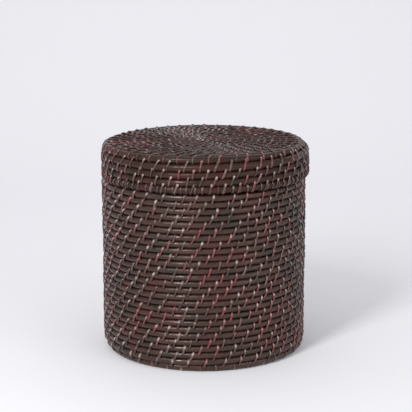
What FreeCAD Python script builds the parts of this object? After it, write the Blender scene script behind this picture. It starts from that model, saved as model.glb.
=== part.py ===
"""Round coiled rattan basket with a lift-off lid.

Millimetres, +Z up, origin on the floor under the middle of the basket.

The basket is one long coil of whole cane: a flat spiral for the base, a tight
corner, and a wall that climbs one pitch in every turn, all right-handed. The
lid is the same kind of coil turned upside down. A neck of cane, set inside the
mouth, keeps the lid in place. Every half turn is half a torus, tilted and set
off so that it meets the next one end to end with no kink.
"""
import FreeCAD, Part
import os

PATH_COLUMNS = ("A", "B", "C")

# Driving dimensions: alias, value, what it is
SIZES = [
    ("cane", 9.0, "thickness of the basket's cane"),
    ("pitch", 9.25, "height of one turn of the basket's coil"),
    ("side_radius", 142.3, "basket wall, to the middle of the cane"),
    ("corner", 7.5, "radius of the turn from base to wall, to the middle of the cane"),
    ("corner_turn", 82, "degrees of that corner that one turn of the coil covers"),
    ("coil_start", 4.5, "distance from the axis where the coil begins"),
    ("foot_flat", 0.4, "depth that wear has flattened the underside"),
    ("base_rise", 2.0, "how much higher the middle of the base is than its edge"),
    ("rim_end", 170, "degrees of the last half turn, where the cane tapers out"),
    ("neck_foot_radius", 133.0, "first turn of the neck, against the wall"),
    ("neck_radius", 131.0, "rest of the neck, to the middle of the cane"),
    ("lid_cane", 9.8, "thickness of the lid's cane"),
    ("lid_pitch", 10.05, "height of one turn of the lid's coil"),
    ("lid_radius", 144.2, "lid skirt, to the middle of the cane"),
    ("lid_corner", 9.5, "radius of the lid's edge, to the middle of the cane"),
    ("lid_corner_turn", 68, "degrees of that edge that one turn covers"),
    ("lid_coil_start", 3.1, "distance from the axis where the lid's coil begins"),
    ("lid_dip", 1.5, "how much lower the middle of the lid is than its edge"),
    ("lid_top", 302.6, "height of the closed lid's top"),
    ("lid_offset", 2.0, "how far the lid lies to one side in its play"),
]

# Node names with the number of coil turns in each, from the middle outwards
BASE_PARTS = [("base_coil_centre", 6), ("base_coil_middle", 4), ("base_coil_outer", 4)]
WALL_TURNS = 27
NECK_TURNS = 4
LID_TOP_PARTS = [("lid_coil_centre", 6), ("lid_coil_middle", 4), ("lid_coil_outer", 3)]
LID_SKIRT_TURNS = 5

doc = FreeCAD.newDocument("CoiledBasket")


def make_sizes():
    """The sheet of driving dimensions."""
    sheet = doc.addObject("Spreadsheet::Sheet", "Sizes")
    for row, (alias, value, note) in enumerate(SIZES, start=1):
        sheet.set(f"A{row}", note)
        sheet.set(f"B{row}", str(value))
        sheet.setAlias(f"B{row}", alias)
    doc.recompute()
    return sheet


def make_path(name, joints, length, radius, height):
    """A sheet with one row per half turn: length of the profile, radius, height."""
    sheet = doc.addObject("Spreadsheet::Sheet", name)
    for joint in range(joints):
        row = joint + 1
        along = f"A{row}"
        for column, formula in zip(PATH_COLUMNS, (length, radius, height)):
            sheet.set(f"{column}{row}", "=" + formula.format(joint=joint, along=along))
    doc.recompute()
    return sheet


def cup_formulas(prefix, pitch, side, foot, rise):
    """Profile of a cup-shaped coil: nearly flat disc, rounded corner, straight side."""
    corner = f"Sizes.{prefix}corner"
    turn = f"Sizes.{prefix}corner_turn"
    flat = f"({side} - {corner})"
    bend = f"(90 * {pitch} / {turn})"
    angle = f"(({{along}} - {flat}) * {turn} / {pitch} * 1 deg)"
    length = f"Sizes.{prefix}coil_start + {{joint}} * {pitch} / 2"
    radius = (f"{{along}} < {flat} ? {{along}} : "
              f"({{along}} < {flat} + {bend} ? {flat} + {corner} * sin{angle} : {side})")
    height = (f"{{along}} < {flat} ? {foot} + {rise} * (1 - {{along}} / {flat}) : "
              f"({{along}} < {flat} + {bend} ? {foot} + {corner} * (1 - cos{angle}) : "
              f"{foot} + {corner} + {{along}} - {flat} - {bend})")
    return length, radius, height


def half_turn(path, joint, cane, sweep="180"):
    """Half a torus from one joint of a path to the next, on the opposite side."""
    here, there = joint + 1, joint + 2
    span = f"({path}.B{here} + {path}.B{there})"
    climb = f"({path}.C{there} - {path}.C{here})"
    starts_at_back = joint % 2 == 0
    toward_back = "" if starts_at_back else "-"
    yaw = "90" if starts_at_back else "-90"
    piece = doc.addObject("Part::Torus", f"{path}_{joint:03d}")
    piece.setExpression("Radius1", f"hypot({span}; {climb}) / 2")
    piece.setExpression("Radius2", f"{cane} / 2")
    piece.setExpression("Angle3", sweep)
    piece.setExpression("Placement", (
        f"placement(vector(0; {toward_back}({path}.B{here} - {path}.B{there}) / 2; "
        f"({path}.C{here} + {path}.C{there}) / 2); "
        f"rotation({yaw}; atan({climb} / {span}) / 1 deg; 0))"))
    return piece


def cane_length(label, path, first_turn, turns, cane, last_sweep="180"):
    """One named length of cane: its half turns joined end to end."""
    first_joint = 2 * first_turn
    last_joint = first_joint + 2 * turns - 1
    halves = [half_turn(path, joint, cane) for joint in range(first_joint, last_joint)]
    halves.append(half_turn(path, last_joint, cane, last_sweep))
    length = doc.addObject("Part::MultiFuse", label)
    length.Shapes = halves
    length.Label = label
    return length


def flatten_underside(length, label):
    """Cut off what hangs below the floor, as wear does."""
    floor = doc.addObject("Part::Box", label + "_floor")
    for side in ("Length", "Width"):
        floor.setExpression(side, "3 * Sizes.side_radius")
    floor.setExpression("Height", "Sizes.cane")
    floor.setExpression("Placement", (
        "placement(vector(-1.5 * Sizes.side_radius; -1.5 * Sizes.side_radius; "
        "-Sizes.cane); rotation(0; 0; 0))"))
    length.Label = label + "_round"
    worn = doc.addObject("Part::Cut", label + "_worn")
    worn.Base = length
    worn.Tool = floor
    worn.Label = label
    return worn


def make_basket():
    """Base spiral, wall and neck."""
    base_turns = sum(turns for _, turns in BASE_PARTS)
    formulas = cup_formulas("", "Sizes.pitch", "Sizes.side_radius",
                            "(Sizes.cane / 2 - Sizes.foot_flat)", "Sizes.base_rise")
    path = make_path("BasketPath", 2 * (base_turns + WALL_TURNS) + 1, *formulas).Name
    parts = []
    turn = 0
    for label, turns in BASE_PARTS:
        parts.append(cane_length(label, path, turn, turns, "Sizes.cane"))
        turn += turns
    parts[-1] = flatten_underside(parts[-1], BASE_PARTS[-1][0])
    for course in range(1, WALL_TURNS + 1):
        label = f"wall_course_{course:02d}"
        sweep = "Sizes.rim_end" if course == WALL_TURNS else "180"
        part = cane_length(label, path, turn, 1, "Sizes.cane", sweep)
        parts.append(flatten_underside(part, label) if course == 1 else part)
        turn += 1
    return parts + make_neck(path, turn - 1)


def make_neck(wall_path, rim_turn):
    """The collar inside the mouth: its first turn lies beside the wall's last one."""
    rim_row = 2 * rim_turn + 1
    length = "{joint} * Sizes.pitch / 2"
    radius = ("max(Sizes.neck_radius; Sizes.neck_foot_radius - "
              "(Sizes.neck_foot_radius - Sizes.neck_radius) * {along} / Sizes.pitch)")
    height = wall_path + ".C" + str(rim_row) + " + {along}"
    path = make_path("NeckPath", 2 * NECK_TURNS + 1, length, radius, height).Name
    parts = []
    for course in range(1, NECK_TURNS + 1):
        sweep = "Sizes.rim_end" if course == NECK_TURNS else "180"
        parts.append(cane_length(f"neck_course_{course}", path, course - 1, 1,
                                 "Sizes.cane", sweep))
    return parts


def make_lid():
    """The lid is coiled upside down and then turned over onto the basket."""
    formulas = cup_formulas("lid_", "Sizes.lid_pitch", "Sizes.lid_radius",
                            "(Sizes.lid_cane / 2)", "Sizes.lid_dip")
    top_turns = sum(turns for _, turns in LID_TOP_PARTS)
    path = make_path("LidPath", 2 * (top_turns + LID_SKIRT_TURNS) + 1, *formulas).Name
    parts = []
    turn = 0
    for label, turns in LID_TOP_PARTS:
        parts.append(cane_length(label, path, turn, turns, "Sizes.lid_cane"))
        turn += turns
    for course in range(1, LID_SKIRT_TURNS + 1):
        sweep = "Sizes.rim_end" if course == LID_SKIRT_TURNS else "180"
        parts.append(cane_length(f"lid_course_{course}", path, turn, 1,
                                 "Sizes.lid_cane", sweep))
        turn += 1
    for part in parts:
        part.setExpression("Placement", (
            "placement(vector(Sizes.lid_offset; 0; Sizes.lid_top); "
            "rotation(0; 180; 0))"))
    return parts


def check_document():
    """Stop if any object failed to build."""
    for item in doc.Objects:
        bad = [state for state in item.State if state in ("Invalid", "Error")]
        if bad:
            raise RuntimeError(f"{item.Name} is {bad}")


def check_part(part):
    """Stop if a sub-part is not one valid solid."""
    shape = part.Shape
    if shape.isNull() or not shape.isValid() or len(shape.Solids) != 1:
        raise RuntimeError(f"{part.Label} is not one valid solid")


make_sizes()
parts = make_basket() + make_lid()
doc.recompute()
check_document()
os.makedirs("parts", exist_ok=True)
for part in parts:
    check_part(part)
for part in parts:
    part.Shape.exportStep(f"parts/{part.Label}.step")
    box = part.Shape.BoundBox
    print(f"{part.Label:18s} {part.Shape.Volume / 1000:8.1f} cm3   "
          f"z {box.ZMin:7.2f} to {box.ZMax:7.2f}   x {box.XMin:8.2f} to {box.XMax:7.2f}")
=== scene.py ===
"""Round coiled rattan basket with a lift-off lid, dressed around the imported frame.

Whole cane is laid along the coil, and thin strips of rattan peel bind each turn
to the one before it. Metres, +Z up, the front is towards -Y.
"""
import math

import bpy
import numpy as np
from mathutils import Matrix, Vector


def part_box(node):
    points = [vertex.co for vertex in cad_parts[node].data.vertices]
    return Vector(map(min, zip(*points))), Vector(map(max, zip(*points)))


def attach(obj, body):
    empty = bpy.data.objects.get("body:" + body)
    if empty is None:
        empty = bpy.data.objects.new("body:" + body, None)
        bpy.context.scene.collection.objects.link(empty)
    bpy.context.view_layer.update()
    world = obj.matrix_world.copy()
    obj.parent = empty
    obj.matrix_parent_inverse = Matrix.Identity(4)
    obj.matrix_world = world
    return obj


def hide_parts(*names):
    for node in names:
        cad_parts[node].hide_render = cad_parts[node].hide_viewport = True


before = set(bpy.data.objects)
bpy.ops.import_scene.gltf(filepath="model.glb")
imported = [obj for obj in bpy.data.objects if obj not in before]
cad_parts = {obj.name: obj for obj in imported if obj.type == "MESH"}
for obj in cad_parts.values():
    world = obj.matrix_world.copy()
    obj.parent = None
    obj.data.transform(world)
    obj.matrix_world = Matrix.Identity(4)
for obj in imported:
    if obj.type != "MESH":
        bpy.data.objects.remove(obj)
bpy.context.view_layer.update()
MM = 0.001
TURN = 2 * math.pi
HALF_WIDTH = 150 * MM
rng = np.random.default_rng(27)

# ---------------------------------------------------------------- sizes

# The coils: corner radius, degrees of it that one turn covers, rise of the disc, start
CORNER, CORNER_TURN = 7.5 * MM, 82
BASE_RISE, COIL_START = 2.0 * MM, 4.5 * MM
FOOT_FLAT = 0.4 * MM          # depth that wear has flattened the underside
LID_CORNER, LID_CORNER_TURN = 9.5 * MM, 68
LID_DIP, LID_COIL_START = 1.5 * MM, 3.1 * MM

# Turns of each part of the coils
BASE_TURNS, WALL_TURNS, NECK_TURNS = 14, 27, 4
LID_TOP_TURNS, LID_SIDE_TURNS = 13, 5
BASE_LEAD, LID_LEAD = -0.35, -0.2    # the cane starts this far before a coil's first turn
END_OF_LAST = 0.972           # how much of its last turn the cane goes round
LAST_TIE = 0.92               # and where its last strip is
NECK_LAST_TIE = 0.9
NECK_GAP = 0.3 * MM           # the neck's first turn stands this far out, against the wall

# Cane
SEGMENTS_PER_TURN = 100       # points of a cane's route in one turn
CANE_SIDES = 5                # sides in half of a cane's round
SQUEEZE = 0.1 * MM            # a cane is thicker by this much, so that turns press together
TOP_SQUEEZE = 2 * SQUEEZE
END_TAPER = 0.1               # turns over which a cane's end thins out
START_TAPER = 0.5
CORNER_FULLNESS = 0.10        # share by which it is thicker where it rounds the corner
CORNER_REACH = 0.9            # turns to either side where that shows

# Binding strips of peel
PEEL_WIDTH = 3.3 * MM
PEEL_THICKNESS = 1.45 * MM
TOP_THICKNESS = 1.4 * PEEL_THICKNESS
PEEL_SIDES = 5
PEEL_DIP = 0.35 * MM          # a strip sinks a little between two canes
BITE = 4.4 * MM               # how far below the newer turn a strip is stitched
LID_BITE = 6.8 * MM           # the same on the lid's top
SKIRT_BITE = 5.0 * MM         # and on its skirt
PEEL_LEAN = -0.34             # turn of a strip from straight across the cane, in radians
TOP_LEAN = -0.45              # the same on the flat of the lid
EDGE_LEAN = -0.08             # and where an edge is overcast
WALL_STITCHES = 38.62         # strips in one turn of the wall
LID_STITCHES = 44.5
NECK_STITCHES = 38.4
CENTRE_SPACING = 8.0 * MM     # between strips in the middle of a disc
WEAR_AND_HIGHLIGHT_REACH = 1.7 * MM         # the stain is scuffed off, and a highlight painted, this far round a strip's bend
EDGE_WEAR_AND_HIGHLIGHT = 0.3               # overcast edges have kept more of their stain, and get less painted highlight
FLOOR_GAP = 0.1 * MM


class Coil:
    """Route of a cup-shaped coil: nearly flat disc, rounded corner, straight side."""

    def __init__(self, cane, pitch, side, corner, corner_turn, foot, rise, start):
        self.cane = cane
        self.pitch = pitch
        self.side = side
        self.corner = corner
        self.corner_turn = math.radians(corner_turn)
        self.foot = foot
        self.rise = rise
        self.start = start
        self.flat = side - corner
        self.bend = math.pi / 2 * pitch / self.corner_turn
        self.over = None

    def turn_over(self, top, offset):
        """The lid is coiled upside down and then turned over onto the basket."""
        self.over = (top, offset)

    def profile(self, length):
        """Radius, height and outward normal at a length along the profile."""
        angle = np.clip((length - self.flat) * self.corner_turn / self.pitch, 0, math.pi / 2)
        radius = np.minimum(length, self.flat) + self.corner * np.sin(angle)
        climb = np.maximum(length - self.flat - self.bend, 0)
        slope = self.rise * np.maximum(1 - length / self.flat, 0)
        height = self.foot + slope + self.corner * (1 - np.cos(angle)) + climb
        return radius, height, np.sin(angle), -np.cos(angle)

    def point(self, turn, along=0.0, out=0.0):
        """Places in space for points given by turn, then set off from the cane's middle."""
        turn, along, out = np.broadcast_arrays(turn, along, out)
        theta = TURN * turn
        radius, height, out_r, out_z = self.profile(self.start + self.pitch * turn + along)
        reach = radius + out_r * out
        slow_sway = 0.35 * MM * np.sin(3 * theta + 41 * height)
        quick_sway = 0.25 * MM * np.sin(7 * theta - 90 * height)
        lift = 0.30 * MM * np.sin(5 * theta + 60 * radius + 23 * height)
        widening = 1 + (slow_sway + quick_sway) * out_r / HALF_WIDTH
        x = -reach * np.sin(theta) * widening
        y = reach * np.cos(theta) * widening
        z = height + out_z * out + lift * out_r
        if self.over:
            top, offset = self.over
            x, z = offset - x, top - z
        return np.stack([x, y, z], axis=-1)

    def seats(self, turns, bite):
        """Where a strip sits at each turn: along the cane, outwards, and to the newer turn."""
        outwards = self.point(turns, along=-bite / 2, out=MM) - self.point(turns, along=-bite / 2)
        rise = self.point(turns) - self.point(turns, along=-self.pitch)
        stretch = np.linalg.norm(rise, axis=1) / self.pitch
        middle = self.point(turns) - rise * bite / (2 * self.pitch)
        for spot, out, up, length in zip(middle, outwards, rise, stretch):
            outward, upward = Vector(out).normalized(), Vector(up).normalized()
            side = outward.cross(upward).normalized()
            outward = upward.cross(side)
            axes = Matrix((side, outward, upward)).transposed().to_4x4()
            yield Matrix.Translation(spot) @ axes @ Matrix.Diagonal((1, 1, length, 1))


class Neck(Coil):
    """Route of the collar inside the mouth: first turn against the wall, then straight up."""

    def __init__(self, wall, foot_radius, radius, height):
        super().__init__(wall.cane, wall.pitch, radius, wall.corner, 90, 0, 0, 0)
        self.foot_radius = foot_radius
        self.floor = height

    def profile(self, length):
        step = np.clip(length / self.pitch, 0, 1)
        radius = self.foot_radius + (self.side - self.foot_radius) * step
        return radius, self.floor + length, np.ones_like(radius), np.zeros_like(radius)


def course_step(name, first, last):
    """Height of one turn, measured over several turns of the frame."""
    low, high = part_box(name.format(first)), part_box(name.format(last))
    return (high[0][2] - low[0][2]) / (last - first)


def basket_route():
    low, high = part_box("wall_course_14")
    pitch = course_step("wall_course_{:02d}", 8, 20)
    cane = high[2] - low[2] - pitch
    return Coil(cane, pitch, high[0] - cane / 2, CORNER, CORNER_TURN,
                cane / 2 - FOOT_FLAT, BASE_RISE, COIL_START)


def lid_route():
    low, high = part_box("lid_course_3")
    pitch = abs(course_step("lid_course_{}", 3, 4))
    cane = high[2] - low[2] - pitch
    offset = (low[0] + high[0]) / 2
    coil = Coil(cane, pitch, (high[0] - low[0] - cane) / 2, LID_CORNER, LID_CORNER_TURN,
                cane / 2, LID_DIP, LID_COIL_START)
    coil.turn_over(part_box("lid_coil_outer")[1][2], offset)
    return coil


def neck_route(wall):
    low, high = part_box("neck_course_3")
    foot_low, foot_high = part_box("neck_course_1")
    foot_radius = (foot_high[1] - foot_low[1] - wall.cane) / 2 + NECK_GAP
    radius = (high[0] - low[0] - wall.cane) / 2
    rim_length = wall.start + wall.pitch * (BASE_TURNS + WALL_TURNS - 1)
    return Neck(wall, foot_radius, radius, wall.profile(rim_length)[1])


# ---------------------------------------------------------------- modelling

def deselect():
    if bpy.context.object and bpy.context.object.mode != "OBJECT":
        bpy.ops.object.mode_set(mode="OBJECT")
    bpy.ops.object.select_all(action="DESELECT")


def lay_cane(name, points, thickness):
    """One length of cane: a round section carried along its route."""
    deselect()
    bpy.ops.curve.primitive_nurbs_path_add()
    curve = bpy.context.object
    curve.name = name
    curve.data.splines.clear()
    spline = curve.data.splines.new("POLY")
    spline.points.add(len(points) - 1)
    homogeneous = np.concatenate([points, np.ones((len(points), 1))], axis=1)
    spline.points.foreach_set("co", homogeneous.ravel())
    spline.points.foreach_set("radius", thickness)
    curve.data.dimensions = "3D"
    curve.data.twist_mode = "Z_UP"
    curve.data.bevel_depth = 1.0
    curve.data.bevel_resolution = CANE_SIDES - 2
    curve.data.use_fill_caps = True
    bpy.ops.object.convert(target="MESH")
    cane = bpy.context.object
    bpy.ops.object.mode_set(mode="EDIT")
    bpy.ops.mesh.select_all(action="SELECT")
    bpy.ops.mesh.remove_doubles(threshold=0.01 * MM)
    bpy.ops.mesh.normals_make_consistent(inside=False)
    bpy.ops.object.mode_set(mode="OBJECT")
    bpy.ops.object.shade_smooth()
    return cane


def cane_along(name, coil, first, last, taper_end=0.0, taper_start=0.0, squeeze=SQUEEZE):
    """The cane of a coil between two turns, a little uneven as whole cane is."""
    count = int((last - first) * SEGMENTS_PER_TURN) + 1
    turns = np.linspace(first, last, count)
    slimness = np.ones(count)
    if taper_end:
        slimness = np.clip(0.25 + (last - turns) / taper_end, 0, 1)
    points = coil.point(turns, along=(slimness - 1) * coil.cane / 2)
    unevenness = 1 + 0.028 * np.sin(9.7 * turns) + 0.022 * np.sin(23.3 * turns + 1)
    corner = (coil.flat + coil.bend / 2 - coil.start) / coil.pitch
    fullness = 1 + CORNER_FULLNESS * np.exp(-((turns - corner) / CORNER_REACH) ** 2)
    thickness = (coil.cane / 2 + squeeze) * unevenness * slimness * fullness
    if taper_start:
        thickness = thickness * np.clip(0.60 + (turns - first) / taper_start, 0, 1)
    return lay_cane(name, points, thickness)


def carry_round(bite):
    """Carries the strip's section round one cane, or round two a bite apart."""
    if not bite:
        bpy.ops.mesh.spin(steps=10, angle=-TURN, center=(0, 0, 0), axis=(1, 0, 0))
        return
    for end in (1, -1):
        middle = (0, 0, end * bite / 2)
        bpy.ops.mesh.spin(steps=5, angle=-math.pi, center=middle, axis=(1, 0, 0))
        for dip in (-1, 1):
            step = (0, -end * dip * PEEL_DIP, -end * bite / 2)
            bpy.ops.mesh.extrude_region_move(TRANSFORM_OT_translate={"value": step})


def mark_wear(strip, shoulder, most):
    """Records how much lighter the strip is at a height on its outer face: the stain scuffed off,
    and a painted highlight.
    """
    worn_and_lit = []
    for corner in strip.data.vertices:
        # Lighter towards the strip's shoulder: partly the stain scuffed off, partly a painted
        # highlight where the light catches the bend.
        amount = most * math.exp(-((corner.co.z - shoulder) / WEAR_AND_HIGHLIGHT_REACH) ** 2)
        worn_and_lit.append(amount if corner.co.y > 0 else 0)
    strip.data.attributes.new("wear", "FLOAT", "POINT").data.foreach_set("value", worn_and_lit)


def strip_pattern(name, cane, bite, worn_and_lit_end=1, thickness=PEEL_THICKNESS):
    """One binding strip: a closed band of peel that wraps the newer turn of cane and
    is stitched through the older one, a bite further down.

    X runs along the cane, Y outwards and Z from the older turn to the newer one.
    """
    deselect()
    bpy.ops.mesh.primitive_circle_add(vertices=PEEL_SIDES, radius=1)
    strip = bpy.context.object
    strip.name = name
    bpy.ops.object.mode_set(mode="EDIT")
    section = (PEEL_WIDTH / 1.9, 0.58 * thickness, 1)
    outwards = cane / 2 + SQUEEZE + 0.38 * thickness
    bpy.ops.transform.resize(value=section, center_override=(0, 0, 0))
    bpy.ops.transform.translate(value=(0, outwards, bite / 2))
    carry_round(bite)
    bpy.ops.mesh.select_all(action="SELECT")
    bpy.ops.mesh.remove_doubles(threshold=0.02 * MM)
    bpy.ops.mesh.normals_make_consistent(inside=False)
    bpy.ops.mesh.faces_shade_smooth()
    bpy.ops.object.mode_set(mode="OBJECT")
    mark_wear(strip, worn_and_lit_end * (bite / 2 + 0.34 * cane), 1 if bite else EDGE_WEAR_AND_HIGHLIGHT)
    return strip


def tie(coil, turns, pattern, bite, lean):
    """Copies the strip to each of the turns, each a little different in slant and width."""
    copies = []
    for place in coil.seats(turns, bite):
        copy = pattern.copy()
        copy.data = pattern.data.copy()
        slant = lean * rng.uniform(0.75, 1.25) + rng.normal(0, 0.04)
        fit = Matrix.Diagonal((rng.uniform(0.85, 1.12), 1, 1 / math.cos(slant), 1))
        copy.matrix_world = place @ Matrix.Rotation(slant, 4, "Y") @ fit
        bpy.context.scene.collection.objects.link(copy)
        copies.append(copy)
    return copies


def join_copies(name, copies):
    deselect()
    for copy in copies:
        copy.select_set(True)
    piece = copies[0]
    bpy.context.view_layer.objects.active = piece
    bpy.ops.object.join()
    bpy.ops.object.transform_apply(location=True, rotation=True, scale=True)
    piece.name = name
    return piece


def bind(name, coil, turns, pattern, bite, lean, strongest):
    """Ties the turns, and gives each strip its own shade, dye, and strength of rubbing and
    painted highlight.
    """
    copies = tie(coil, turns, pattern, bite, lean)
    piece = join_copies(name, copies)
    for quality in ("shade", "redness", "rub"):
        most = 1 if quality == "rub" else strongest
        amount = rng.uniform(0, most, len(copies))
        mark = piece.data.attributes.new(quality, "FLOAT", "POINT")
        mark.data.foreach_set("value", np.repeat(amount, len(pattern.data.vertices)))
    return piece


def rest_on_floor(piece):
    """Presses flat what would hang below the floor, as standing does."""
    deselect()
    bpy.context.view_layer.objects.active = piece
    piece.select_set(True)
    bpy.ops.object.mode_set(mode="EDIT")
    bpy.ops.mesh.select_mode(type="VERT")
    bpy.ops.mesh.select_all(action="DESELECT")
    bpy.ops.object.mode_set(mode="OBJECT")
    for vertex in piece.data.vertices:
        vertex.select = vertex.co.z < FLOOR_GAP
    bpy.ops.object.mode_set(mode="EDIT")
    bpy.ops.transform.resize(value=(1, 1, 0), center_override=(0, 0, FLOOR_GAP))
    bpy.ops.object.mode_set(mode="OBJECT")
    return piece


def even_turns(first, last, per_turn):
    """Turns at which strips are tied, with the maker's small unevenness."""
    turns = np.arange(first, last, 1 / per_turn)
    return turns + rng.normal(0, 0.10 / per_turn, len(turns))


def disc_turns(coil, first, last, at_edge):
    """The same on a disc, where strips crowd towards the middle."""
    turns = []
    turn = first
    edge = TURN * coil.side / at_edge
    while turn < last:
        radius = max(coil.start + coil.pitch * (turn - 0.5), 2 * MM)
        spacing = CENTRE_SPACING + (edge - CENTRE_SPACING) * radius / coil.side
        turns.append(turn)
        turn += spacing / (TURN * radius) * rng.uniform(0.85, 1.15)
    return np.array(turns)


# ---------------------------------------------------------------- materials

VARNISH = (1.0, 0.86, 0.80)
DARK_STAIN = (0.024, 0.010, 0.008)
RED_DYE = (0.165, 0.034, 0.034)
# Colours that a strip's shoulder turns to: unstained peel, made lighter as a painted highlight.
BARE_PEEL_AND_HIGHLIGHT = (0.46, 0.37, 0.33)
BARE_RED_PEEL_AND_HIGHLIGHT = (0.44, 0.22, 0.22)


class Term:
    """A number that varies over a surface; arithmetic on it adds Math nodes."""

    def __init__(self, recipe, socket):
        self.recipe = recipe
        self.socket = socket

    def math(self, operation, *others):
        return self.recipe.node("ShaderNodeMath", {"operation": operation}, self, *others)

    def __add__(self, other):
        return self.math("ADD", other)

    def __mul__(self, other):
        return self.math("MULTIPLY", other)

    def __sub__(self, other):
        return self.math("SUBTRACT", other)

    def __rsub__(self, other):
        return self.recipe.node("ShaderNodeMath", {"operation": "SUBTRACT"}, other, self)

    __radd__, __rmul__ = __add__, __mul__


class Recipe:
    """A material and the nodes that make it."""

    def __init__(self, name):
        self.material = bpy.data.materials.new(name)
        self.material.use_nodes = True
        self.tree = self.material.node_tree
        self.shader = self.tree.nodes["Principled BSDF"]

    def node(self, kind, settings, *values, output=0, **named):
        """Adds a node: its settings first, then the values or links of its sockets."""
        node = self.tree.nodes.new(kind)
        for key, value in settings.items():
            if key == "stops":
                self.set_stops(node.color_ramp, value)
            else:
                setattr(node, key, value)
        for key, value in list(enumerate(values)) + list(named.items()):
            self.feed(node.inputs[key.replace("_", " ") if isinstance(key, str) else key], value)
        return Term(self, node.outputs[output])

    def set_stops(self, ramp, stops):
        while len(ramp.elements) < len(stops):
            ramp.elements.new(0.5)
        for element, (position, colour) in zip(ramp.elements, stops):
            element.position = position
            element.color = (*colour, 1)

    def feed(self, socket, value):
        if isinstance(value, Term):
            self.tree.links.new(value.socket, socket)
        elif hasattr(socket.default_value, "__len__") and len(socket.default_value) == 4:
            socket.default_value = (*value, 1)
        else:
            socket.default_value = value

    def mix(self, factor, first, second):
        """A blend of two colours."""
        node = self.tree.nodes.new("ShaderNodeMix")
        node.data_type = "RGBA"
        self.feed(node.inputs[0], factor)
        self.feed(node.inputs[6], first)
        self.feed(node.inputs[7], second)
        return Term(self, node.outputs[2])

    def finish(self, **sockets):
        for key, value in sockets.items():
            self.feed(self.shader.inputs[key.replace("_", " ")], value)
        return self.material


def cane_finish(name, gloss):
    """Whole cane under dark stain and a clear lacquer."""
    recipe = Recipe(name)
    place = recipe.node("ShaderNodeTexCoord", {}, output="Object")
    patches = recipe.node("ShaderNodeTexNoise", {}, Vector=place, Scale=34.0, Detail=3.0)
    blotch = recipe.node("ShaderNodeTexNoise", {}, Vector=place, Scale=110.0, Detail=4.0)
    pits = recipe.node("ShaderNodeTexNoise", {}, Vector=place, Scale=420.0, Detail=3.0)
    stain = recipe.node("ShaderNodeValToRGB", {"stops": [
        (0.33, (0.013, 0.017, 0.009)), (0.45, (0.036, 0.015, 0.010)),
        (0.56, (0.050, 0.022, 0.015)), (0.68, (0.066, 0.013, 0.014))]}, patches)
    colour = recipe.mix(blotch * 0.5, stain, DARK_STAIN)
    relief = blotch * 0.6 + pits * 0.4
    bump = recipe.node("ShaderNodeBump", {}, Strength=0.55, Distance=0.7 * MM, Height=relief)
    return recipe.finish(Base_Color=colour, Roughness=blotch * 1.1 - 0.20, Normal=bump,
                         Specular_IOR_Level=gloss, Specular_Tint=VARNISH)


def peel_finish(name, gloss):
    """Rattan peel whose stain has come off round its bends, lightened there further as a painted
    highlight.
    """
    recipe = Recipe(name)
    place = recipe.node("ShaderNodeTexCoord", {}, output="Object")
    shade, redness, rub, wear = (
        recipe.node("ShaderNodeAttribute", {"attribute_name": quality}, output="Fac")
        for quality in ("shade", "redness", "rub", "wear"))
    grain = recipe.node("ShaderNodeTexNoise", {}, Vector=place, Scale=260.0, Detail=3.0)
    drift = recipe.node("ShaderNodeTexNoise", {}, Vector=place, Scale=11.0, Detail=1.0)
    brown = recipe.node("ShaderNodeValToRGB", {"stops": [
        (0.0, (0.036, 0.016, 0.013)), (0.60, (0.066, 0.034, 0.028)),
        (0.90, (0.100, 0.060, 0.050)), (1.0, (0.140, 0.090, 0.078))]}, shade)
    dye = drift * 1.1 + redness * 0.5
    dyed = recipe.node("ShaderNodeMapRange", {}, dye, 0.77, 1.10, 0.0, 1.0)
    stain = recipe.mix(dyed, brown, RED_DYE)
    bare_and_lit = recipe.mix(dyed, BARE_PEEL_AND_HIGHLIGHT, BARE_RED_PEEL_AND_HIGHLIGHT)
    # Towards the unstained colour at the shoulder: partly the stain scuffed off, partly a painted
    # highlight.
    rubbed_and_lit = wear * (rub * 1.30 + grain * 0.30 - 0.16)
    colour = recipe.mix(rubbed_and_lit, stain, bare_and_lit)
    relief = recipe.node("ShaderNodeBump", {}, Strength=0.3, Distance=0.4 * MM, Height=grain)
    return recipe.finish(Base_Color=colour, Roughness=grain * 0.30 + 0.12, Normal=relief,
                         Specular_IOR_Level=gloss, Specular_Tint=VARNISH,
                         Coat_Weight=0.2 * gloss, Coat_Roughness=0.12)


# ---------------------------------------------------------------- pieces

rim_turn = BASE_TURNS + WALL_TURNS - 1
lid_rim_turn = LID_TOP_TURNS + LID_SIDE_TURNS - 1
neck_rim_turn = NECK_TURNS - 1

basket = basket_route()
lid = lid_route()
neck = neck_route(basket)

cane_stain = cane_finish("stained cane", 0.55)
dusty_cane = cane_finish("dusty cane", 0.28)
# The peel finishes carry a painted highlight at the strips' shoulders.
peel_stain_and_highlight = peel_finish("worn peel", 0.6)
dusty_peel_and_highlight = peel_finish("dusty peel", 0.28)

base_nodes = ["base_coil_centre", "base_coil_middle", "base_coil_outer"]
wall_nodes = [f"wall_course_{course:02d}" for course in range(1, WALL_TURNS + 1)]
neck_nodes = [f"neck_course_{course}" for course in range(1, NECK_TURNS + 1)]
lid_top_nodes = ["lid_coil_centre", "lid_coil_middle", "lid_coil_outer"]
lid_side_nodes = [f"lid_course_{course}" for course in range(1, LID_SIDE_TURNS + 1)]


def settle(piece, body, slot, material, nodes=()):
    """Give a finished piece its finish, its body and the frame nodes it stands for."""
    piece.data.materials.clear()
    piece.data.materials.append(material)
    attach(piece, body)
    if nodes:
        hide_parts(*nodes)


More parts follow.
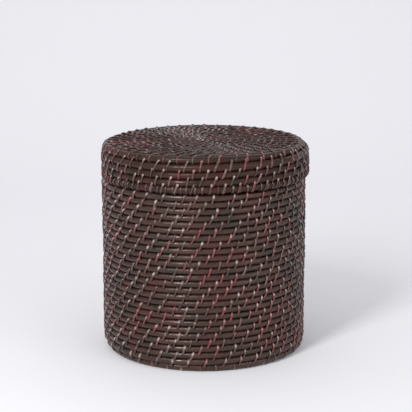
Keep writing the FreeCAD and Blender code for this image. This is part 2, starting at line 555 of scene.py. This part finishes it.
def make_canes():
    base_cane = cane_along("base_cane", basket, BASE_LEAD, BASE_TURNS, 0, START_TAPER)
    settle(rest_on_floor(base_cane), "basket", "basket_cane", cane_stain, base_nodes)
    wall_cane = cane_along("wall_cane", basket, BASE_TURNS, rim_turn + END_OF_LAST, END_TAPER)
    settle(rest_on_floor(wall_cane), "basket", "basket_cane", cane_stain, wall_nodes)
    neck_cane = cane_along("neck_cane", neck, 0, neck_rim_turn + END_OF_LAST, END_TAPER,
                           END_TAPER)
    settle(neck_cane, "basket", "basket_cane", cane_stain, neck_nodes)
    top_cane = cane_along("lid_top_cane", lid, LID_LEAD, LID_TOP_TURNS, 0, START_TAPER,
                          TOP_SQUEEZE)
    settle(top_cane, "lid", "lid_cane", dusty_cane, lid_top_nodes)
    side_cane = cane_along("lid_side_cane", lid, LID_TOP_TURNS, lid_rim_turn + END_OF_LAST,
                           END_TAPER)
    settle(side_cane, "lid", "lid_cane", dusty_cane, lid_side_nodes)


# How strong a shade or dye the strips of a kind may have, where it is less than full. On the
# lid's top this holds the strips to darker browns as painted shade, against the light that the
# flat top catches; the overcast edges are darker in their own colour.
STRONGEST = {"top": 0.5, "edge": 0.4, "lid_edge": 0.4}


def make_patterns():
    """Each kind of strip, modelled once."""
    return {
        "wall": strip_pattern("strip", basket.cane, BITE),
        "edge": strip_pattern("edge_strip", basket.cane, 0),
        "top": strip_pattern("lid_top_strip", lid.cane, LID_BITE, -1, TOP_THICKNESS),
        "skirt": strip_pattern("lid_strip", lid.cane, SKIRT_BITE, -1),
        "lid_edge": strip_pattern("lid_edge_strip", lid.cane, 0, -1),
    }


def plan_ties():
    """Each piece of binding: its name, coil, turns, kind of strip, bite and lean."""
    base_turns = disc_turns(basket, 1, BASE_TURNS, WALL_STITCHES)
    wall_turns = even_turns(BASE_TURNS, rim_turn + LAST_TIE, WALL_STITCHES)
    neck_end = neck_rim_turn + NECK_LAST_TIE
    neck_turns = even_turns(1, neck_end, NECK_STITCHES)
    neck_edge_turns = even_turns(neck_rim_turn, neck_end, 2 * NECK_STITCHES)
    top_turns = disc_turns(lid, 1, LID_TOP_TURNS, LID_STITCHES)
    lid_end = lid_rim_turn + LAST_TIE
    skirt_turns = even_turns(LID_TOP_TURNS, lid_end, LID_STITCHES)
    lid_edge_turns = even_turns(lid_end - 1, lid_end, 2 * LID_STITCHES)
    return [
        ("base_binding", basket, base_turns, "wall", BITE, PEEL_LEAN),
        ("wall_binding", basket, wall_turns, "wall", BITE, PEEL_LEAN),
        ("neck_binding", neck, neck_turns, "wall", BITE, PEEL_LEAN),
        ("neck_overcast", neck, neck_edge_turns, "edge", 0, EDGE_LEAN),
        ("lid_top_binding", lid, top_turns, "top", LID_BITE, TOP_LEAN),
        ("lid_side_binding", lid, skirt_turns, "skirt", SKIRT_BITE, PEEL_LEAN),
        ("lid_overcast", lid, lid_edge_turns, "lid_edge", 0, EDGE_LEAN),
    ]


def make_bindings():
    patterns = make_patterns()
    for name, coil, turns, kind, bite, lean in plan_ties():
        piece = bind(name, coil, turns, patterns[kind], bite, lean, STRONGEST.get(kind, 1.0))
        if name in ("base_binding", "wall_binding"):
            rest_on_floor(piece)
        body = "lid" if coil is lid else "basket"
        finish = dusty_peel_and_highlight if kind == "top" else peel_stain_and_highlight
        settle(piece, body, body + "_cane", finish)
    for pattern in patterns.values():
        bpy.data.objects.remove(pattern)


make_canes()
make_bindings()

# ---------------------------------------------------------------- studio

PAPER_COLOUR = (0.92, 0.92, 0.945)
SKY_COLOUR = (0.97, 0.97, 1.0)
SKY_STRENGTH = 0.60
PAPER_SIZE = 8
PAPER_FRONT = -1.2            # middle of the sheet on the floor
PAPER_RISE = 4
SWEEP_RADIUS = 1.6
CAMERA_PLACE = (0, -1.871, 0.615)
CAMERA_TILT = 0.2162          # below level, in radians
CAMERA_SWING = -0.0017
LENS = 114.7
SENSOR = 36

# Soft boxes: place, aim, width, height, watts, spread in degrees
SOFTBOXES = {
    "key": ((-0.92, -1.53, 1.45), (0, 0, 0.16), 0.40, 1.10, 26, 180),
    "fill": ((1.7, -1.5, 0.9), (0, 0, 0.15), 1.6, 1.4, 10, 180),
    "background": ((0, 2.0, 2.0), (0, 1.5, 0), 3.4, 1.0, 4.8, 120),
}


def make_paper():
    """A roll of studio paper: floor, a wide sweep and the wall behind."""
    deselect()
    bpy.ops.mesh.primitive_plane_add(size=PAPER_SIZE, location=(0, PAPER_FRONT, 0))
    paper = bpy.context.object
    paper.name = "paper"
    bpy.ops.object.transform_apply(location=True, rotation=True, scale=True)
    bpy.ops.object.mode_set(mode="EDIT")
    bpy.ops.mesh.select_mode(type="EDGE")
    bpy.ops.mesh.select_all(action="DESELECT")
    bpy.ops.object.mode_set(mode="OBJECT")
    back = max(vertex.co.y for vertex in paper.data.vertices)
    for edge in paper.data.edges:
        edge.select = all(paper.data.vertices[end].co.y > back - MM for end in edge.vertices)
    bpy.ops.object.mode_set(mode="EDIT")
    bpy.ops.mesh.extrude_region_move(TRANSFORM_OT_translate={"value": (0, 0, PAPER_RISE)})
    bpy.ops.object.mode_set(mode="OBJECT")
    for edge in paper.data.edges:
        ends = [paper.data.vertices[end].co for end in edge.vertices]
        edge.select = all(end.y > back - MM and end.z < MM for end in ends)
    bpy.ops.object.mode_set(mode="EDIT")
    bpy.ops.mesh.bevel(offset=SWEEP_RADIUS, segments=24)
    bpy.ops.object.mode_set(mode="OBJECT")
    bpy.ops.object.shade_smooth()
    recipe = Recipe("paper")
    paper.data.materials.append(recipe.finish(Base_Color=PAPER_COLOUR, Roughness=0.9))


def make_studio():
    make_paper()
    world = bpy.data.worlds.new("studio")
    bpy.context.scene.world = world
    world.use_nodes = True
    sky = world.node_tree.nodes["Background"]
    sky.inputs["Color"].default_value = (*SKY_COLOUR, 1)
    sky.inputs["Strength"].default_value = SKY_STRENGTH
    for name, settings in SOFTBOXES.items():
        add_softbox(name, *settings)
    bpy.context.scene.view_settings.view_transform = "Standard"


def add_softbox(name, place, aim, width, height, watts, spread):
    light = bpy.data.lights.new(name, "AREA")
    light.shape = "RECTANGLE"
    light.size = width
    light.size_y = height
    light.energy = watts
    light.spread = math.radians(spread)
    lamp = bpy.data.objects.new(name, light)
    bpy.context.scene.collection.objects.link(lamp)
    lamp.location = place
    towards = Vector(aim) - Vector(place)
    lamp.rotation_euler = towards.to_track_quat("-Z", "Y").to_euler()


def place_camera():
    data = bpy.data.cameras.new("camera")
    data.sensor_width = SENSOR
    data.lens = LENS
    camera = bpy.data.objects.new("camera", data)
    bpy.context.scene.collection.objects.link(camera)
    camera.location = CAMERA_PLACE
    camera.rotation_euler = (math.pi / 2 - CAMERA_TILT, 0, CAMERA_SWING)
    bpy.context.scene.camera = camera


make_studio()
place_camera()
